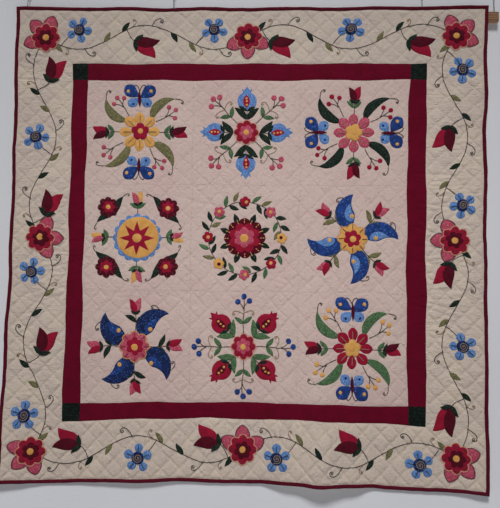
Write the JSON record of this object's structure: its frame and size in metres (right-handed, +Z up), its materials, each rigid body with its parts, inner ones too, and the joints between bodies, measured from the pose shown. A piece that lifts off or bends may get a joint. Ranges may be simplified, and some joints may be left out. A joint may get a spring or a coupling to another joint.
{
  "type": "appliqué quilt on a wooden hanging slat",
  "caption": "Square pieced wall quilt with appliqué blocks, a dark red frame, a wide cream border and bound edges, diagonally quilted, hung from a wooden slat on taut wires.",
  "frame": {"origin": "on the slat's top face, above the middle of the quilt, where the hanging wires hold it", "axes": "+Z up, +X to the viewer's right, the quilt's face towards -Y"},
  "size_m": [1.3939, 0.0421, 1.4075],
  "materials": {
    "block_cloth": "woven cotton, pinkish cream",
    "border_cloth": "woven cotton, beige",
    "frame_cloth": "woven cotton, dark burgundy",
    "corner_cloth": "printed cotton, very dark green",
    "binding_cloth": "woven cotton, dark burgundy, folded",
    "backing_cloth": "woven cotton, unbleached",
    "applique_red": "woven cotton, crimson",
    "applique_pink": "printed cotton, rose",
    "applique_blue": "printed cotton, blue",
    "applique_green": "printed cotton, green",
    "applique_gold": "woven cotton, gold",
    "embroidery_thread": "stranded cotton, dark brown",
    "quilting_thread": "cotton thread, cream",
    "slat_wood": "planed softwood, waxed",
    "hanging_wire": "dull twisted steel wire"
  },
  "bodies": {
    "root": {"block_1": "block_cloth", "block_2": "block_cloth", "block_3": "block_cloth", "block_4": "block_cloth", "block_5": "block_cloth", "block_6": "block_cloth", "block_7": "block_cloth", "block_8": "block_cloth", "block_9": "block_cloth", "border_top": "border_cloth", "border_foot": "border_cloth", "border_left": "border_cloth", "border_right": "border_cloth", "frame_top": "frame_cloth", "frame_foot": "frame_cloth", "frame_left": "frame_cloth", "frame_right": "frame_cloth", "corner_1": "corner_cloth", "corner_2": "corner_cloth", "corner_3": "corner_cloth", "corner_4": "corner_cloth", "binding_top": "binding_cloth", "binding_foot": "binding_cloth", "binding_left": "binding_cloth", "binding_right": "binding_cloth", "hanging_slat": "slat_wood", "hanging_wire_1": "hanging_wire", "hanging_wire_2": "hanging_wire", "hanging_wire_3": "hanging_wire", "hanging_wire_4": "hanging_wire", "hanging_ring_1": "hanging_wire", "hanging_ring_2": "hanging_wire", "hanging_ring_3": "hanging_wire", "hanging_ring_4": "hanging_wire"}
  },
  "joints": []
}
